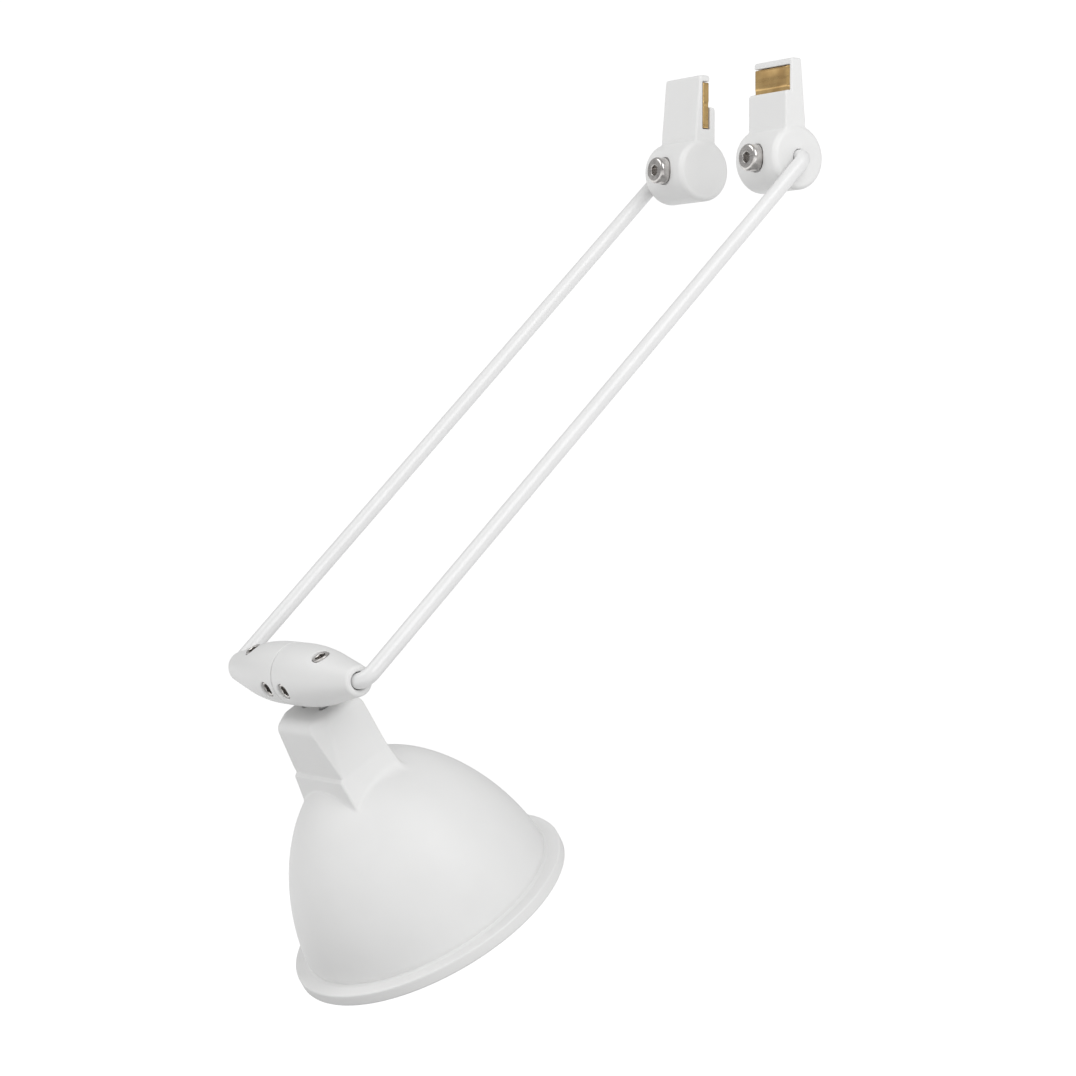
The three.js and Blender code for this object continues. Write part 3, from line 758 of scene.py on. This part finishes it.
def clip_screw(screw_side):
    seat = SCREW_FACE - CAP_SCREW["height"]
    middle, half = (seat + CAP_SCREW["shank_end"]) / 2, (seat - CAP_SCREW["shank_end"]) / 2

    def distance(p):
        x, y, z = p.T
        height = screw_side * y
        head = socket_screw(x - CLIP_MIDDLE, z, height, SCREW_FACE, seat, CAP_SCREW)
        radial = np.hypot(x - CLIP_MIDDLE, z)
        shank = np.maximum(radial - CAP_SCREW["shank"], np.abs(height - middle) - half)
        return np.minimum(head, shank)

    return distance


def build_clip(side_name, side):
    place = clip_frame(side)
    body = f"clip_{side_name}"
    screw_side = -side
    implicit_piece(
        f"{body}_housing",
        clip_body(screw_side),
        (BARREL["inner"], -BARREL["radius"], -BARREL["radius"]),
        (BARREL["outer"], BARREL["radius"], TONGUE_TOP),
        NET_CELL["shell"],
        place,
        body,
        "white_plastic",
        [f"clip_body_{side_name}"],
    )
    implicit_piece(
        f"{body}_contact_plate",
        clip_contact(),
        (BARREL["inner"], -3, SHOULDER + CONTACT["foot"]),
        (BARREL["outer"] - 1, 2, TONGUE_TOP),
        NET_CELL["contact"],
        place,
        body,
        "brass",
        [f"clip_contact_{side_name}"],
    )
    ends = sorted([screw_side * 2.0, screw_side * SCREW_FACE])
    reach = CAP_SCREW["radius"]
    implicit_piece(
        f"{body}_cap_screw",
        clip_screw(screw_side),
        (CLIP_MIDDLE - reach, ends[0], -reach),
        (CLIP_MIDDLE + reach, ends[1], reach),
        NET_CELL["cap_screw"],
        place,
        body,
        "bright_screw",
        [f"clip_screw_{side_name}"],
    )


# ---------------------------------------------------------------- arm rods


def quarter_bend(centre_point, start, end, steps=12):
    """Points of a quarter circle about a centre, from one direction to the other."""
    angles = np.linspace(0, math.pi / 2, steps)
    return [centre_point + ROD["bend"] * (math.cos(a) * start + math.sin(a) * end) for a in angles]


def build_rod(side_name, side):
    out = np.array([side, 0.0, 0.0])
    down = np.array(ARM_DIRECTION)
    bend = ROD["bend"]
    upper = out * (ROD["plane"] - bend) + down * bend
    lower = out * (ROD["plane"] - bend) + down * (ARM_LENGTH - bend)
    straight = np.linspace(ROD_RUN_IN, ARM_LENGTH - 2 * bend - ROD_RUN_IN, 24)
    path = [out * ROD["clip_end"], *quarter_bend(upper, -down, out)]
    path += [upper + out * bend + down * t for t in straight]
    path += [*quarter_bend(lower, out, down), out * ROD["spindle_end"] + down * ARM_LENGTH]
    place = Matrix.Translation(CLIP_AXIS) @ Matrix.Scale(MM, 4)
    name = f"arm_rod_{side_name}_bar"
    data = tube(name, path, ROD["radius"], place, 36)
    add_piece(name, data, "arms", "white_rod_coating", [f"arm_rod_{side_name}"])


# ---------------------------------------------------------------- spindle

HEAD = head_frame()


def spindle_radius(x):
    """A level middle and a straight cone to the end, with a wide curve between them."""
    radius, knee = SPINDLE["radius"], SPINDLE["knee"]
    slope = (radius - SPINDLE["end"]) / (SPINDLE["half"] - knee)
    return blend_min(radius, radius - slope * (x - knee), SPINDLE["knee_curve"])


def spindle_half(side):
    def distance(p):
        x, y, z = p.T
        x = side * x
        radial = np.hypot(y, z)
        body = blend_max(radial - spindle_radius(x), x - SPINDLE["half"], SPINDLE["end_edge"])
        body = blend_max(body, SPINDLE["seam"] - x, SPINDLE["seam_edge"])
        share = (x - SPINDLE["half"]) / SPINDLE["flare_depth"] + 1
        flare = SPINDLE["flare"] * np.clip(share, 0, 1) ** 2
        from_terminal = radial - TERMINAL["radius"] - CLEARANCE
        from_rod_grub = np.hypot(x - ROD_GRUB["x"], y) - GRUB["radius"] - SNUG
        from_stem_grub = np.hypot(x - STEM_GRUB["x"], z) - GRUB["radius"] - SNUG
        from_stem = np.hypot(x - STEM["x"], y) - STEM["radius"] - CLEARANCE
        hollows = [
            (np.maximum(from_terminal, x - TERMINAL["outer"] - CLEARANCE), 0.1),
            (radial - SPINDLE["mouth"] - flare, 0.3),
            (np.maximum(from_rod_grub, -z), 0.3),
            (np.maximum(from_stem_grub, y), 0.3),
            (np.maximum(from_stem, z), 0.4),
        ]
        return carve(body, hollows)

    return distance


def set_screw(side, place, along, sign, across):
    """A set screw whose axis is column `along` of the head frame, with its sign."""

    def distance(p):
        u, v = side * p[:, 0] - place["x"], p[:, across]
        return socket_screw(u, v, sign * p[:, along], place["outer"], place["inner"], GRUB)

    return distance


def build_spindle(side_name, side):
    half = SPINDLE["half"]
    ends = sorted([side * SPINDLE["seam"], side * half])
    radius = SPINDLE["radius"]
    implicit_piece(
        f"spindle_{side_name}_shell",
        spindle_half(side),
        (ends[0], -radius, -radius),
        (ends[1], radius, radius),
        NET_CELL["shell"],
        HEAD,
        "head",
        "white_plastic",
        [f"spindle_half_{side_name}"],
    )
    grub = GRUB["radius"]
    x = side * ROD_GRUB["x"]
    implicit_piece(
        f"rod_grub_{side_name}",
        set_screw(side, ROD_GRUB, 2, 1, 1),
        (x - grub, -grub, ROD_GRUB["inner"]),
        (x + grub, grub, ROD_GRUB["outer"]),
        NET_CELL["grub"],
        HEAD,
        "head",
        "bright_screw",
        [f"rod_set_screw_{side_name}"],
    )
    x = side * STEM_GRUB["x"]
    implicit_piece(
        f"stem_grub_{side_name}",
        set_screw(side, STEM_GRUB, 1, -1, 2),
        (x - grub, -STEM_GRUB["outer"], -grub),
        (x + grub, -STEM_GRUB["inner"], grub),
        NET_CELL["grub"],
        HEAD,
        "head",
        "bright_screw",
        [f"stem_set_screw_{side_name}"],
    )
    x = side * STEM["x"]
    top, foot, reach = STEM["top"], STEM["foot"], STEM["radius"] + 0.05
    implicit_piece(
        f"stem_{side_name}",
        lambda p: pin(p, (x, 0, top), (x, 0, foot), STEM["radius"], 0.3),
        (x - reach, -reach, foot),
        (x + reach, reach, top),
        NET_CELL["stem"],
        HEAD,
        "head",
        "steel_pin",
        [f"stem_pin_{side_name}"],
    )


# ---------------------------------------------------------------- shade


def bowl_radius(distance):
    share = np.clip((distance - BOWL["top"]) / (BOWL["bottom"] - BOWL["top"]), 0, 1)
    return BOWL["radius"] * np.sqrt(1 - (1 - share) ** BOWL["power"])


def shade_outline():
    """The wall of the bowl with its flange, as (distance, radius), from the axis and back to it."""
    shares = np.linspace(0.02, 1, 70) ** 2
    outer = [(w, bowl_radius(w)) for w in BOWL["top"] + (BOWL["bottom"] - BOWL["top"]) * shares]
    inner = [(w + 0.7 * BOWL["wall"], r - BOWL["wall"]) for w, r in outer if r > 2 * BOWL["wall"]]
    flange = RIM["bottom"] - RIM["edge"]
    mouth = RIM["radius"] - RIM["lip"]
    return rounded(
        [
            (BOWL["top"], 0.01),
            *outer,
            (flange - 0.5, BOWL["radius"] - 0.3, 0.2),
            (flange, BOWL["radius"] + 0.5, 0.3),
            (flange + 0.1, RIM["radius"], 0.6),
            (RIM["bottom"], RIM["radius"], 0.7),
            (RIM["bottom"], mouth, 0.7),
            (RIM["bottom"] - 3.0, mouth - 0.7, 0.5),
            *reversed(inner),
            (BOWL["top"] + BOWL["wall"], 0.01),
        ]
    )


POCKET_HALF = HOLDER["width"] / 2 + CLEARANCE, HOLDER["depth"] / 2 + CLEARANCE
POCKET_FOOT = -NECK["foot"] - 1


def holder_pocket(p):
    half_width, half_depth = POCKET_HALF
    low = (-half_width, -half_depth, POCKET_FOOT)
    return round_box(p, low, (half_width, half_depth, -HOLDER["top"] + CLEARANCE), 0.4)


def neck_section(x, y, w):
    """The block between spindle and bowl, flared below its ledge. Its sides slant towards the
    front, less and less down to the ledge."""
    share = np.clip((w - NECK["top"]) / (NECK["ledge"] - NECK["top"]), 0, 1)
    step = NECK["step"] * np.clip((w - NECK["ledge"]) / NECK["step_height"], 0, 1)
    flare = np.clip((w - NECK["ledge"]) / NECK_FLARE["length"], 0, NECK_FLARE["most"])
    beside = np.abs(x) - NECK["half_width"] - NECK_FLARE["side"] * flare
    ahead = -y - NECK["front"] - step - NECK_FLARE["front"] * flare
    behind = y - NECK["back"] - NECK_FLARE["back"] * flare
    q = np.stack([beside, np.maximum(ahead, behind)], 1) + NECK["corner"]
    box = np.linalg.norm(np.maximum(q, 0), axis=1) + np.minimum(q.max(1), 0) - NECK["corner"]
    slope = NECK_SLANT["slope"]
    slant = beside + slope * (ahead + NECK_SLANT["length"] * (1 - share))
    return blend_max(box, slant / math.hypot(1, slope), 0.3)


def bowl_distance(radial, w):
    """Distance to the outside of the bowl, to first order."""
    height, radius, power = BOWL["bottom"] - BOWL["top"], BOWL["radius"], BOWL["power"]
    rest = np.maximum((BOWL["bottom"] - w) / height, 0)
    value = (radial / radius) ** 2 - 1 + rest**power
    return value / np.hypot(2 * radial / radius**2, power * rest ** (power - 1) / height)


def neck(p):
    """The neck with its fillet on the bowl, tight in front and wider behind, open below for the
    lampholder."""
    x, y, z = p.T
    w = -z
    bowl = bowl_distance(np.hypot(x, y), w)
    block = blend_max(neck_section(x, y, w), NECK["top"] - w, NECK["top_round"])
    fillet = np.interp(y, NECK_FILLET["y"], NECK_FILLET["width"])
    body = blend_min(block, bowl, fillet)
    body = np.maximum(body, block - NECK_FILLET["reach"] * fillet)
    body = np.maximum(body, -bowl - BOWL["wall"] / 2)
    stems = np.hypot(np.abs(x) - STEM["x"], y) - STEM["radius"] - CLEARANCE
    return carve(body, [(holder_pocket(p), 0.3), (np.maximum(stems, w - HOLDER["top"]), 0.3)])


def cut_pocket(bowl):
    """Opens the top of the bowl for the lampholder."""
    half_width, half_depth = POCKET_HALF
    points = [
        (x * half_width, y * half_depth, z)
        for z in (POCKET_FOOT, -HOLDER["top"])
        for x, y in ((-1, -1), (1, -1), (1, 1), (-1, 1))
    ]
    faces = [(3, 2, 1, 0), (4, 5, 6, 7), (0, 1, 5, 4), (1, 2, 6, 5), (2, 3, 7, 6), (3, 0, 4, 7)]
    box = mesh_data("holder_pocket_cutter", points, faces, HEAD)
    cutter = bpy.data.objects.new("holder_pocket_cutter", box)
    bpy.context.scene.collection.objects.link(cutter)
    opening = bowl.modifiers.new("holder_pocket", "BOOLEAN")
    opening.object = cutter
    bpy.context.view_layer.update()
    cut = bpy.data.meshes.new_from_object(bowl.evaluated_get(bpy.context.evaluated_depsgraph_get()))
    bowl.modifiers.clear()
    bowl.data = cut
    bpy.data.objects.remove(cutter)


def build_shade():
    data = lathe_down("shade_bowl", shade_outline(), HEAD, 160)
    cut_pocket(add_piece("shade_bowl", data, "head", "white_shade", ["shade"]))
    half_width, half_depth = NECK_REACH
    implicit_piece(
        "shade_neck",
        neck,
        (-half_width, -half_depth, POCKET_FOOT),
        (half_width, half_depth, -NECK["top"]),
        NET_CELL["neck"],
        HEAD,
        "head",
        "white_shade",
        ["shade"],
    )


# ---------------------------------------------------------------- lamp


def reflector_radius(distance):
    top, narrow = REFLECTOR["top"], REFLECTOR["neck"]
    share = (distance - top) / (REFLECTOR["face"] - REFLECTOR["rim"] - top)
    return narrow + (REFLECTOR["radius"] - narrow) * np.sqrt(np.clip(share, 0, 1))


def build_reflector():
    """Smooth outside, and rows of flat facets inside that grow towards the front."""
    top, face, radius, wall = (REFLECTOR[key] for key in ("top", "face", "radius", "wall"))
    levels = top + (face - REFLECTOR["rim"] - top) * np.linspace(0, 1, 12) ** 1.6
    outer = [(w, reflector_radius(w)) for w in levels]
    inner = [(w + 0.6, reflector_radius(w) - wall) for w in levels[1:]]
    ledge = radius - FRONT_GLASS["ledge"]
    seat = [(face - 0.3, radius), (face, radius - 0.3), (face, ledge), (face - 1.8, ledge)]
    foot = [(top + wall, REFLECTOR["hole"]), (top, REFLECTOR["hole"])]
    sides = 40
    data = lathe_down("lamp_reflector_bowl", [*outer, *seat, *reversed(inner), *foot], HEAD, sides)
    first_facet = (len(outer) + len(seat) - 1) * sides
    last_facet = first_facet + len(inner) * sides
    for i, polygon in enumerate(data.polygons):
        polygon.use_smooth = not first_facet <= i < last_facet
    add_piece("lamp_reflector_bowl", data, "head", "reflector_glass", ["lamp_reflector"])


def build_capsule():
    top, shoulder, tip, radius = (CAPSULE[key] for key in ("top", "shoulder", "tip", "radius"))
    corners = [
        (top, 0.01),
        (top, radius, 0.6),
        (shoulder, radius, 3),
        (tip, radius / 3, 0.8),
        (tip, 0.01),
    ]
    data = lathe_down("lamp_capsule_bulb", rounded(corners, 8), HEAD, 32)
    add_piece("lamp_capsule_bulb", data, "head", "clear_glass", ["lamp_capsule"])


def build_filament():
    """A coil across the capsule and two legs that rise to the seal."""
    turns, radius, half, height = (FILAMENT[key] for key in ("turns", "radius", "half", "height"))
    coil = []
    for t in np.linspace(0, 1, turns * 14):
        a = 2 * math.pi * turns * t
        coil.append((half * (2 * t - 1), radius * math.cos(a), height + radius * math.sin(a)))
    wires = {"coil": coil}
    for side_name, side in SIDES.items():
        x = side * half
        foot = (x, radius, height)
        wires[f"leg_{side_name}"] = [foot, (x, radius / 3, height + 4), (x / 2, 0, height + 8)]
    for wire_name, path in wires.items():
        data = tube(f"filament_{wire_name}", path, FILAMENT["wire"], HEAD, 8)
        add_piece(f"filament_{wire_name}", data, "head", "steel_pin", [])


def build_front_glass():
    face = REFLECTOR["face"]
    back = face - FRONT_GLASS["thickness"]
    radius = REFLECTOR["radius"] - FRONT_GLASS["ledge"] - CLEARANCE
    corners = [(back, 0.01), (back, radius, 0.2), (face, radius, 0.4), (face, 0.01)]
    data = lathe_down("lamp_front_glass", rounded(corners), HEAD, 72)
    add_piece("lamp_front_glass", data, "head", "clear_glass", ["lamp_glass"])


# ---------------------------------------------------------------- CAD nodes that stay


def dress_cad_nodes():
    """Sealed inner parts keep their CAD shape and get the material of their slot."""
    for part in frame["record"]["subparts"]:
        node = frame["nodes"][part["node"]]
        if not node.hide_render:
            node.data.materials.clear()
            node.data.materials.append(MATERIALS[part["material_slot"]])


# ---------------------------------------------------------------- stage


def towards(azimuth, elevation):
    """The direction of a place seen from the lamp: azimuth 0 is -Y and 90 is +X, in degrees."""
    a, e = math.radians(azimuth), math.radians(elevation)
    return Vector((math.sin(a) * math.cos(e), -math.cos(a) * math.cos(e), math.sin(e)))


def build_camera():
    data = bpy.data.cameras.new("camera")
    data.lens, data.sensor_width = CAMERA["lens"], CAMERA["sensor"]
    data.clip_start, data.clip_end = 0.05, 200
    camera = bpy.data.objects.new("camera", data)
    bpy.context.scene.collection.objects.link(camera)
    camera.location = CAMERA["place"]
    back = towards(CAMERA["azimuth"], CAMERA["elevation"])
    camera.rotation_euler = back.to_track_quat("Z", "Y").to_euler()
    bpy.context.scene.camera = camera


def build_light(name, azimuth, elevation, distance, size, power):
    """A soft disc that faces the middle of the part."""
    middle = (cad_box[0] + cad_box[1]) / 2
    data = bpy.data.lights.new(name, "AREA")
    data.shape, data.size, data.energy = "DISK", size, power
    light = bpy.data.objects.new(name, data)
    bpy.context.scene.collection.objects.link(light)
    direction = towards(azimuth, elevation)
    light.location = middle + direction * distance
    light.rotation_euler = direction.to_track_quat("Z", "Y").to_euler()


def build_world():
    """White for the camera, and less than half as bright as a light."""
    world = bpy.data.worlds.new("studio")
    world.use_nodes = True
    nodes, links = world.node_tree.nodes, world.node_tree.links
    background = nodes["Background"]
    background.inputs["Color"].default_value = (1, 1, 1, 1)
    rays = nodes.new("ShaderNodeLightPath")
    strength = nodes.new("ShaderNodeMapRange")
    strength.inputs["To Min"].default_value = WORLD["as_light"]
    strength.inputs["To Max"].default_value = WORLD["seen"]
    links.new(rays.outputs["Is Camera Ray"], strength.inputs["Value"])
    links.new(strength.outputs["Result"], background.inputs["Strength"])
    bpy.context.scene.world = world


def build_floor():
    half = FLOOR["half"]
    level = cad_box[0].z - FLOOR["drop"]
    corners = [(x * half, y * half, level) for x, y in ((-1, -1), (1, -1), (1, 1), (-1, 1))]
    data = bpy.data.meshes.new("floor")
    data.from_pydata(corners, [], [(0, 1, 2, 3)])
    floor = bpy.data.objects.new("floor", data)
    data.materials.append(floor_material())
    bpy.context.scene.collection.objects.link(floor)


# ---------------------------------------------------------------- build

for side_name, side in SIDES.items():
    build_clip(side_name, side)
    build_rod(side_name, side)
    build_spindle(side_name, side)
build_shade()
build_reflector()
build_capsule()
build_filament()
build_front_glass()
dress_cad_nodes()

build_camera()
build_light("key", **KEY_LIGHT)
build_light("fill", **FILL_LIGHT)
build_world()
build_floor()
bpy.context.scene.view_settings.view_transform = "Standard"
